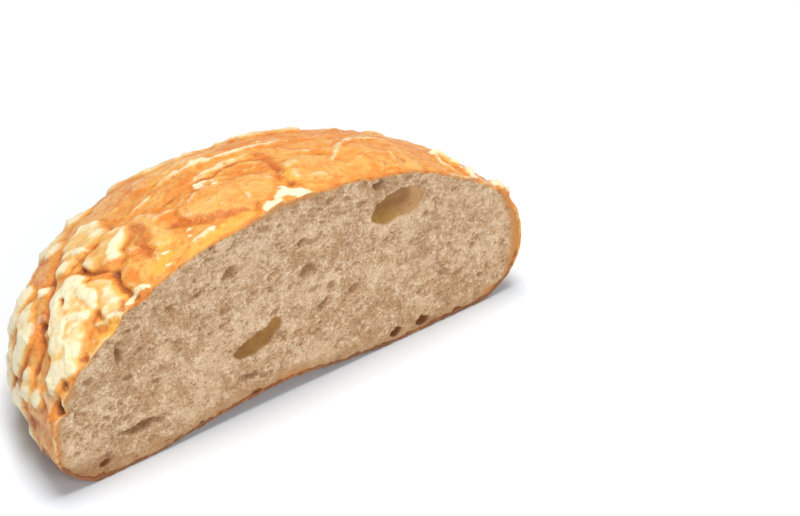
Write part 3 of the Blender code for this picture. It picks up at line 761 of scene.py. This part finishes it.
# %% Map of the large bubbles
# how far right and how high, half length, half height and depth in millimetres, then the tilt in degrees
BUBBLES = (
    (38.6, 52.6, 8.6, 5.6, 6.0, 12),
    (43.8, 52.0, 5.2, 5.2, 5.5, 0),
    (-15.4, 23.6, 5.2, 3.5, 4.2, 5),
    (-10.3, 25.0, 4.8, 3.4, 3.8, 20),
    (-6.6, 27.2, 4.2, 3.0, 3.2, 50),
    (33.4, 62.8, 3.0, 1.7, 3.2, -8),
    (4.9, 54.7, 2.4, 1.3, 2.4, 0),
    (7.6, 42.9, 4.0, 3.2, 2.2, 10),
    (-20.9, 54.6, 3.6, 2.5, 2.4, 15),
    (23.3, 28.5, 2.5, 1.8, 2.4, 20),
    (12.5, 27.9, 2.8, 1.6, 2.2, 20),
    (-53.3, 12.9, 7.6, 1.9, 3.8, -3),
    (-13.6, 12.2, 5.6, 1.1, 2.0, -20),
    (-67.1, 5.4, 2.2, 1.7, 3.0, 20),
    (-61.0, 43.0, 1.4, 4.2, 3.2, 5),
    (-76.4, 27.3, 0.9, 2.2, 1.8, 0),
    (38.9, 3.6, 3.0, 1.7, 4.0, 5),
    (49.2, 3.4, 2.6, 1.8, 4.0, 5),
    (73.6, 12.3, 1.4, 3.5, 1.6, -8),
    (-7.8, 65.4, 3.8, 1.3, 1.6, -25),
)
SPREAD_BUBBLES = 12
ROOM_TO_CRUST = 6 * MM
LOWEST_SPREAD = 9 * MM
APART = 3 * MM
print(len(BUBBLES), "placed bubbles and", SPREAD_BUBBLES, "seeded ones")


def all_bubbles():
    """The placed bubbles and small seeded ones, clear of each other and of the crust."""
    draw = np.random.default_rng(5)
    made = [tuple(np.array(bubble[:5]) * MM) + (bubble[5],) for bubble in BUBBLES]
    wanted = len(made) + SPREAD_BUBBLES
    while len(made) < wanted:
        x, z = draw.uniform(-REACH_LEFT, REACH_RIGHT), draw.uniform(0, HEIGHT)
        half = draw.uniform(1.1 * MM, 1.9 * MM)
        around = math.degrees(math.atan2(z - HEART_HEIGHT, x))
        towards = direction([0 if x > 0 else 180], [around if x > 0 else 180 - around])
        room = plain_reach(towards)[0] - math.hypot(x, z - HEART_HEIGHT)
        if room < ROOM_TO_CRUST or z < LOWEST_SPREAD:
            continue
        if all(math.hypot(x - b[0], z - b[1]) > half + b[2] + APART for b in made):
            made.append((x, z, half, half * draw.uniform(0.5, 0.8), half * 0.8, draw.uniform(-30, 30)))
    return made


# %% Dig the cells into the cut
SOFT_SIDE = 0.8  # how much more gently a bubble slopes out at its lower right than at its upper left


def bubble_depth(points, bubbles):
    """Depth of some bubbles under each point of the cut."""
    deepest = np.zeros(len(points))
    for x, z, half_length, half_height, depth, tilt in bubbles:
        turn = math.radians(tilt)
        dx, dz = points[:, 0] - x, points[:, 2] - z
        lengthwise = (dx * math.cos(turn) + dz * math.sin(turn)) / half_length
        upright = (dz * math.cos(turn) - dx * math.sin(turn)) / half_height
        inside = np.maximum(1 - lengthwise**2 - upright**2, 0)
        away = np.sqrt(lengthwise**2 + upright**2) + 1e-9
        lower_right = 0.5 + 0.5 * (0.6 * lengthwise - 0.8 * upright) / away
        deepest = np.maximum(deepest, depth * inside ** (0.45 + SOFT_SIDE * lower_right))
    return deepest


def cell_depth(points):
    """Depth of the crumb's cells, larger ones flattened as the dough's own weight flattens them."""
    wandering = wavy(wavy(points, 3.5 * MM, 80, 0.9 * MM), 1.2 * MM, 77, 0.3 * MM)
    wandering[:, 1] = 0
    flattened = wandering * np.array([0.8, 1, 1.15])
    depth = 0.65 * hollows(flattened, 1.1 * MM, 81, 0.15, 0.62, flat=True)
    depth = np.maximum(depth, 0.9 * hollows(flattened, 2.3 * MM, 85, 0.0, 0.46, flat=True))
    depth = np.maximum(depth, 0.8 * hollows(flattened, 6.0 * MM, 89, 0.02, 0.28, flat=True))
    return depth * (0.75 + 0.5 * lumps(points, 5 * MM, 78))


FACE_GRID = (381, 221)
BASE_ENDS = (turns[base_start], turns[base_end])
SHOULDERS = (math.radians(150), math.radians(30))
LINED_BUBBLES = 5  # the first ones on the map, which hold melted cheese
TORN_FROM = 0.93  # how far out the grid starts to follow each bump of the rim
LIP = 0.4 * MM  # how far the crumb runs under the crust's strip
SUNK = 0.22 * MM  # how far the crumb's skin lies behind the crust's strip
LEAST_DEPTH = 0.02 * MM


def stretch(loop, start, end, count):
    """Evenly spaced points of a loop from one turn to another."""
    around = (np.linspace(start, end, 2 * RIM_POINTS) + math.pi) % (2 * math.pi) - math.pi
    fine_points = at_turn(loop, around)
    steps = np.linalg.norm(np.diff(fine_points, axis=0), axis=1)
    length = np.concatenate([[0], np.cumsum(steps)])
    wanted = np.linspace(0, length[-1], count)
    return np.stack([np.interp(wanted, length, fine_points[:, k]) for k in (0, 1)], axis=1)


def patch(loop):
    """A grid of points that fills a loop, from its base, its two sides and its top."""
    wide, tall = FACE_GRID
    bottom = stretch(loop, *BASE_ENDS, wide)[:, None]
    top = stretch(loop, *SHOULDERS, wide)[:, None]
    left = stretch(loop, BASE_ENDS[0] + 2 * math.pi, SHOULDERS[0], tall)[None]
    right = stretch(loop, BASE_ENDS[1], SHOULDERS[1], tall)[None]
    s = np.linspace(0, 1, wide)[:, None, None]
    t = np.linspace(0, 1, tall)[None, :, None]
    lower_corners = (1 - s) * left[:, :1] + s * right[:, :1]
    upper_corners = (1 - s) * left[:, -1:] + s * right[:, -1:]
    between_sides = (1 - s) * left + s * right
    between_ends = (1 - t) * (bottom - lower_corners) + t * (top - upper_corners)
    return (between_sides + between_ends).reshape(-1, 2)


crumb_loop = inner_rim * (1 + LIP / np.linalg.norm(inner_rim, axis=1))[:, None]
to_edge = np.maximum(*np.abs(np.meshgrid(*(np.linspace(-1, 1, count) for count in FACE_GRID), indexing="ij")))
torn_edge = ramp(to_edge, TORN_FROM, 1.0).reshape(-1, 1)
flat_face = patch(softened_loop(crumb_loop, EVEN_OUT)) * (1 - torn_edge) + patch(crumb_loop) * torn_edge
face_points = in_space(flat_face) + HEART
face_turn = np.arctan2(flat_face[:, 1], flat_face[:, 0])
to_side = np.linalg.norm(at_turn(crumb_loop, face_turn), axis=1) - np.linalg.norm(flat_face, axis=1)
over_board = face_points[:, 2] - arch_height(face_points[:, 0], 0) - CRUST_BASE
to_rim = np.maximum(np.minimum(to_side, np.maximum(over_board, 0.4 * to_side)), 0)
near_rim = fade(to_rim, 1.0 * MM, 5 * MM)
wandering_face = wavy(face_points, 3 * MM, 95, 0.7 * MM)
in_cut = all_bubbles()
lined = bubble_depth(wandering_face, in_cut[:LINED_BUBBLES])
small_hollows = bubble_depth(wandering_face, in_cut[LINED_BUBBLES:])
bubbles = np.maximum(lined, small_hollows)
cells = cell_depth(face_points) * (1 - 0.4 * near_rim)
sway = 0.25 * MM * lumps(face_points, 14 * MM, 97)
grain = 0.06 * MM * lumps(face_points, 0.8 * MM, 98)
inside_rim = ramp(to_rim, 0.2 * MM, 0.8 * MM)
small = cells * fade(bubbles, 0.5 * MM, 3 * MM)
face_points[:, 1] = np.maximum(SUNK + (bubbles + small + sway + grain) * inside_rim, LEAST_DEPTH)
print("the deepest bubble reaches", round(bubbles.max() / MM, 1), "mm in, the deepest cell",
      round(cells.max() / MM, 1), "mm")

# %% Build the crumb
CRUMB_SCALE = 0.97  # the first ring behind the cut, beside the cut's own border
CRUMB_DEPTH = 72 * MM
CRUMB_STEPS = np.radians([12, 34, 56, 76])
face_faces, face_border = grid_faces(*FACE_GRID)
crumb_rings, crumb_tip = backward_rings(flat_face[face_border] * CRUMB_SCALE, CRUMB_DEPTH, CRUMB_STEPS)
crumb = closed_piece("crumb", face_points, face_faces, face_border, crumb_rings, crumb_tip)
across, up = face_points[:, 0], face_points[:, 2]
corner = fade(across, -80 * MM, -50 * MM) * fade(up, 3 * MM, 18 * MM)
# how deep the cells and bubbles are, which the material paints as shade, how their lining is coloured,
# how close the oven's heat came, and the low left corner, which is painted darker as shade
crumb_marks = {
    "cell": np.clip(cells / MM, 0, 2),
    "bubble": np.clip(small_hollows / (2 * MM), 0, 2),
    "lined": np.clip(lined / (2 * MM), 0, 3),
    "yellow": fade(across, 38 * MM, 43 * MM),
    "browned": fade(across, 0, 20 * MM),
    "near_base": fade(over_board, 1 * MM, 7 * MM) + corner,
    "corner": corner,
    "toast": ramp(across, 55 * MM, 80 * MM) + fade(up, 1 * MM, 7 * MM),
}
for name, values in crumb_marks.items():
    keep_mark(crumb, name, values)
keep_mark(crumb, "near_rim", near_rim, rest=1)

# %% [markdown]
# ## Writing a material as sums
# A material is a graph of nodes, but "pale cheese where it is thick" reads better as arithmetic. The class
# below stands for one output in the graph. Adding, subtracting or multiplying makes the Math node for that,
# and every other kind of node comes from one method, which takes the node's settings and its inputs.

# %% A small language for materials
class Strand:
    """One output of a material's graph, which can be used in sums."""

    def __init__(self, socket):
        self.socket = socket

    def node(self, kind, settings, inputs, output=0):
        """Adds a node to the same graph and returns one of its outputs."""
        made = self.socket.id_data.nodes.new(kind)
        for name, value in settings.items():
            setattr(made, name, value)
        for key, value in inputs.items():
            if isinstance(value, Strand):
                self.socket.id_data.links.new(value.socket, made.inputs[key])
            elif isinstance(value, tuple) and made.inputs[key].type == "RGBA":
                made.inputs[key].default_value = (*value, 1)
            else:
                made.inputs[key].default_value = value
        return Strand(made.outputs[output])

    def sum(self, operation, first, second):
        return self.node("ShaderNodeMath", {"operation": operation}, {0: first, 1: second})

    def __add__(self, other):
        return self.sum("ADD", self, other)

    def __sub__(self, other):
        return self.sum("SUBTRACT", self, other)

    def __rsub__(self, other):
        return self.sum("SUBTRACT", other, self)

    def __mul__(self, other):
        return self.sum("MULTIPLY", self, other)

    __radd__ = __add__
    __rmul__ = __mul__

    def slope(self, start, end, low=0.0, high=1.0):
        """Low where this is under start, high where it is over end, and a smooth slope between."""
        return self.node("ShaderNodeMapRange", {"interpolation_type": "SMOOTHSTEP"},
                         {0: self, 1: start, 2: end, 3: low, 4: high})

    def blend(self, first, second):
        """A colour between two colours, by this value."""
        return self.node("ShaderNodeMix", {"data_type": "RGBA"}, {0: self, 6: first, 7: second}, 2)

    def over(self, colour, paint, start, end, most=1.0):
        """The colour with paint on it, from none where this is under start to most where it is over end."""
        return self.slope(start, end, 0, most).blend(colour, paint)


def start_material(name, constants):
    """A material with its shader, and the place on the object as the first strand."""
    made = bpy.data.materials.new(name)
    made.use_nodes = True
    shader = made.node_tree.nodes["Principled BSDF"]
    for socket, value in constants.items():
        shader.inputs[socket].default_value = value
    place = Strand(made.node_tree.nodes.new("ShaderNodeTexCoord").outputs["Object"])
    return made, shader, place


def noise(place, size, detail=2.0, roughness=0.5):
    """Noise from 0 to 1 with bumps of about the given size in metres."""
    inputs = {"Vector": place, "Scale": 1 / size, "Detail": detail, "Roughness": roughness}
    return place.node("ShaderNodeTexNoise", {}, inputs)


def mark(place, name):
    """A number that was stored at the points of the mesh."""
    return place.node("ShaderNodeAttribute", {"attribute_name": name}, {}, 2)


def feed(shader, name, strand):
    shader.id_data.links.new(strand.socket, shader.inputs[name])


def bumps(height, strength, distance):
    """Fine relief that only bends the light."""
    return height.node("ShaderNodeBump", {}, {"Strength": strength, "Distance": distance, "Height": height})


# %% [markdown]
# ## Baked cheese and crust
# Seen close up the crust is not one brown: thick cheese stays cream, thin cheese turns golden and bare
# crust between them is a strong orange that goes red-brown in the creases. Hollows and creases are also
# painted darker as painted shade, and raised places paler as painted highlight. Fat leaves a soft shine.
# Each of these is a colour blended over the last one by a mask, from the bare crust upwards.

# %% Material of the crust
CREAM = (1.0, 0.86, 0.57)
BUTTER = (0.98, 0.72, 0.32)
YELLOW = (0.97, 0.65, 0.23)
GOLDEN = (0.94, 0.48, 0.11)
ORANGE = (0.84, 0.27, 0.03)
SIENNA = (0.66, 0.16, 0.02)
RUST = (0.42, 0.09, 0.012)
SHADE_BROWN = (0.22, 0.06, 0.012)
AMBER = (0.97, 0.50, 0.07)
TAN = (0.42, 0.17, 0.05)
SCORCHED = (0.24, 0.075, 0.018)

crust_finish, shader, place = start_material("baked crust", {
    "Subsurface Weight": 0.2, "Subsurface Radius": (1.0, 0.5, 0.18), "Subsurface Scale": 2.0 * MM})
patches = noise(place, 13 * MM, 4, 0.6)
spots = noise(place, 3.2 * MM, 4, 0.65)
cheese = mark(place, "cheese")
shred = mark(place, "shred")
crevice = mark(place, "crevice")
flecks = noise(place, 1.3 * MM, 3, 0.6)
uneven = 0.6 * (patches - 0.5) + 0.5 * (spots - 0.5)
colour = (0.5 * patches + 0.5 * spots).slope(0.43, 0.58).blend(ORANGE, GOLDEN)
colour = (cheese + uneven).over(colour, GOLDEN, 0.12, 0.5, 0.8)
colour = (0.6 * spots + 0.4 * flecks).over(colour, SIENNA, 0.53, 0.64, 0.75)
colour = (0.5 * patches + 0.5 * flecks).over(colour, YELLOW, 0.56, 0.63, 0.6)
colour = (mark(place, "yellow") + uneven).over(colour, AMBER, 0.25, 0.65, 0.9)
colour = (cheese + uneven).over(colour, YELLOW, 0.35, 0.7)
# Painted highlight and shade on thick cheese: cream on its ridges, butter-yellow in its hollows.
creamy = (0.6 * patches + 0.4 * spots + 0.3 * crevice).slope(0.44, 0.62).blend(CREAM, BUTTER)
colour = (cheese + 1.6 * uneven - 0.4 * crevice).over(colour, creamy, 0.6, 1.0)
colour = (0.6 * patches + 0.4 * spots + 0.15 * crevice).over(colour, GOLDEN, 0.5, 0.64, 0.6)
colour = (shred + 2 * uneven).over(colour, CREAM, 0.3, 1.0, 0.8)
# Raised places are painted cream, a painted highlight.
colour = (0 - crevice).over(colour, CREAM, 0.15, 0.6, 0.4)
# Crevices turn orange, then red-brown: partly bare crust, partly painted shade.
colour = crevice.over(colour, ORANGE, 0.05, 0.6, 0.75)
colour = (crevice + 0.5 * (flecks - 0.5)).over(colour, RUST, 0.4, 1.1, 0.8)
colour = (mark(place, "pale") + 0.5 * (flecks - 0.5)).over(colour, CREAM, 0.35, 0.7)
# The deepest creases and holes are painted dark brown, painted shade.
colour = mark(place, "crease").over(colour, SHADE_BROWN, 1.2, 4.0, 0.8)
base = mark(place, "base")
toasted = (0.5 * spots + 0.5 * flecks + 0.15 * base).slope(0.5, 0.68).blend(TAN, SCORCHED)
colour = (base + 1.5 * (flecks - 0.5)).over(colour, toasted, 0.1, 0.8, 0.95)
red = mark(place, "red")
colour = (red + 2.5 * uneven + (flecks - 0.5)).over(colour, SIENNA, 0.15, 1.0, 0.75)
colour = (red + 3 * (flecks - 0.5)).over(colour, RUST, 0.7, 1.4, 0.5)
low_red = red * mark(place, "low")
colour = (low_red + 2 * (spots - 0.5) + (flecks - 0.5)).over(colour, SCORCHED, 0.3, 1.0, 0.8)
feed(shader, "Base Color", colour)
feed(shader, "Roughness", flecks.slope(0.35, 0.65, 0.3, 0.55))
grain = (noise(place, 0.8 * MM, 3, 0.6) + noise(place, 1.9 * MM, 3)) * cheese.slope(0.3, 0.9, 1, 0.45)
feed(shader, "Normal", bumps(grain, 0.8, 0.6 * MM))
crust.data.materials.append(crust_finish)
print("the crust's finish has", len(crust_finish.node_tree.nodes), "nodes")

# %% [markdown]
# ## Crumb
# Crumb is pale beige and matt. Light sinks in and comes out again, which keeps the cells from looking like
# holes in stone. Cells, pores and bubbles are painted darker and warmer the deeper they go, as painted
# shade; the dough is denser and browner next to the crust, and the two largest bubbles are lined with
# cheese that melted into them.

# %% Material of the crumb
CRUMB_LIGHT = (0.97, 0.82, 0.62)
CRUMB_PALE = (0.75, 0.505, 0.30)
CRUMB_DEEP = (0.55, 0.325, 0.165)
CRUMB_SHADE = (0.28, 0.125, 0.045)
CRUMB_RIM = (0.50, 0.265, 0.11)
CRUMB_TOAST = (0.64, 0.27, 0.07)
LINING = (0.55, 0.32, 0.075)
POCKET = (0.68, 0.41, 0.18)
OLD_LINING = (0.42, 0.215, 0.045)
BASE_HOLE_SHADE = (0.27, 0.095, 0.028)

crumb_finish, shader, place = start_material("crumb", {
    "Roughness": 0.82, "Subsurface Weight": 0.2, "Subsurface Radius": (1.0, 0.7, 0.4),
    "Subsurface Scale": 1.2 * MM})
broad = noise(place, 11 * MM, 3)
specks = noise(place, 1.0 * MM, 3, 0.65)
pores = noise(place, 0.55 * MM, 2, 0.6)
clumps = noise(place, 3.2 * MM, 3, 0.6)
colour = (0.45 * broad + 0.25 * specks + 0.3 * clumps).slope(0.42, 0.58).blend(CRUMB_DEEP, CRUMB_PALE)
colour = (specks + 0.6 * pores + 0.5 * (clumps - 0.5)).over(colour, CRUMB_LIGHT, 0.82, 1.04, 0.8)
# Cells are painted darker the deeper they go, painted shade.
colour = (mark(place, "cell") + 0.5 * (specks - 0.5)).over(colour, CRUMB_SHADE, 0.2, 0.9, 0.5)
# Dark dots stand for pores too small to dig, painted shade.
pore_shade = (0.6 * pores + 0.4 * specks + 0.3 * (clumps - 0.5)).slope(0.46, 0.33, 0, 0.95)
colour = pore_shade.blend(colour, CRUMB_SHADE)
near_crust = mark(place, "near_rim")
colour = (near_crust * 0.35).blend(colour, CRUMB_RIM)
lengthwise = place.node("ShaderNodeMapping", {}, {"Vector": place, "Scale": (0.25, 1, 1)})
streaks = noise(lengthwise, 1.4 * MM, 3, 0.6)
bubble = mark(place, "bubble")
near_base = mark(place, "near_base")
colour = (near_base + 2.5 * (streaks - 0.5)).over(colour, CRUMB_RIM, 0.1, 1.1, 0.6)
# The low left corner is painted darker, painted shade.
colour = (mark(place, "corner") + specks - 0.5).over(colour, CRUMB_SHADE, 0, 1.2, 0.5)
# Small bubbles are painted darker the deeper they go, and darkest near the base, painted shade.
colour = (bubble + 0.3 * (specks - 0.5)).over(colour, CRUMB_SHADE, 0.15, 1.2, 0.7)
colour = (bubble * near_base).over(colour, BASE_HOLE_SHADE, 0.1, 0.6, 0.9)
lined = mark(place, "lined")
skin = (lined + 0.4 * (specks - 0.5)).slope(0.05, 0.5, 0, 0.9)
lining = mark(place, "browned").blend(mark(place, "yellow").blend(POCKET, LINING), OLD_LINING)
colour = skin.blend(colour, lining)
# The deepest parts of the lined bubbles and the dots in them are painted darker, painted shade.
colour = lined.over(colour, CRUMB_SHADE, 1.2, 2.4, 0.7)
colour = (pore_shade * lined.slope(0.1, 1.0, 0, 0.6)).blend(colour, CRUMB_SHADE)
colour = (near_crust + 0.8 * (specks - 0.5)).over(colour, CRUMB_TOAST, 0.7, 1.05, 0.8)
colour = (near_crust * mark(place, "toast") + 1.4 * (specks - 0.5)).over(colour, CRUMB_TOAST, 0, 0.65, 0.9)
feed(shader, "Base Color", colour)
feed(shader, "Normal", bumps((specks + pores) * (1 - skin), 0.7, 0.4 * MM))
crumb.data.materials.append(crumb_finish)
print("the crumb's finish has", len(crumb_finish.node_tree.nodes), "nodes")

# %% [markdown]
# ## Floor and light
# Food on a white sweep. A large soft lamp overhead makes the crust glow and gathers a soft shadow under the
# loaf. A wider one in front lights the cut, which would lie in the shade of its own crust. A pale world
# around them fills what they don't reach. More lamps would flatten the relief.

# %% Floor, lamps and world
FLOOR_HALF = 4.0
WORLD_COLOUR = (0.90, 0.95, 1, 1)
WORLD_STRENGTH = 0.26
corners = [(x * FLOOR_HALF, y * FLOOR_HALF, 0) for x, y in ((-1, -1), (1, -1), (1, 1), (-1, 1))]
floor_mesh = bpy.data.meshes.new("floor")
floor_mesh.from_pydata(corners, [], [(0, 1, 2, 3)])
floor = add_object("floor", floor_mesh)
floor_finish, *_ = start_material("white sweep", {"Base Color": (0.85, 0.90, 0.95, 1), "Roughness": 0.9})
floor.data.materials.append(floor_finish)
floor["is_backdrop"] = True


def add_lamp(name, towards, distance, size, power, colour):
    """A square soft lamp that shines on the loaf from the given direction."""
    lamp = add_object(name, bpy.data.lights.new(name, "AREA"))
    lamp.data.size = size
    lamp.data.energy = power
    lamp.data.color = colour
    away = Vector(towards).normalized()
    lamp.location = Vector((0, 0, 0.03)) + away * distance
    lamp.rotation_euler = away.to_track_quat("Z", "Y").to_euler()
    print(name, "at", [round(c, 2) for c in lamp.location], "m")


add_lamp("key lamp", (0.03, 0.02, 1), distance=1.5, size=0.75, power=21.5, colour=(1, 0.985, 0.97))
add_lamp("front lamp", (-0.25, -1, 0.65), distance=1.8, size=0.9, power=11.7, colour=(1, 0.985, 0.96))
world = bpy.data.worlds.new("pale room")
world.use_nodes = True
background = world.node_tree.nodes["Background"]
background.inputs["Color"].default_value = WORLD_COLOUR
background.inputs["Strength"].default_value = WORLD_STRENGTH
bpy.context.scene.world = world
bpy.context.scene.view_settings.view_transform = "Standard"

# %% [markdown]
# ## Hand over
# The two pieces together stand for the solid model, which stays in the file, hidden. The two pieces
# together stand for the solid model, which stays in the file for weighing and for knocks. Each piece
# says which body carries it.

# %% Join the pieces to the solid model
for piece, slot in ((crust, "baked_crust"), (crumb, "crumb")):
    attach(piece, "root")
    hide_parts("bread")
bpy.context.view_layer.update()
seen_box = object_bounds()
for name, (lowest, highest) in (("solid", cad_box), ("pieces", seen_box)):
    print(name, [round(c / MM, 2) for c in lowest], [round(c / MM, 2) for c in highest])
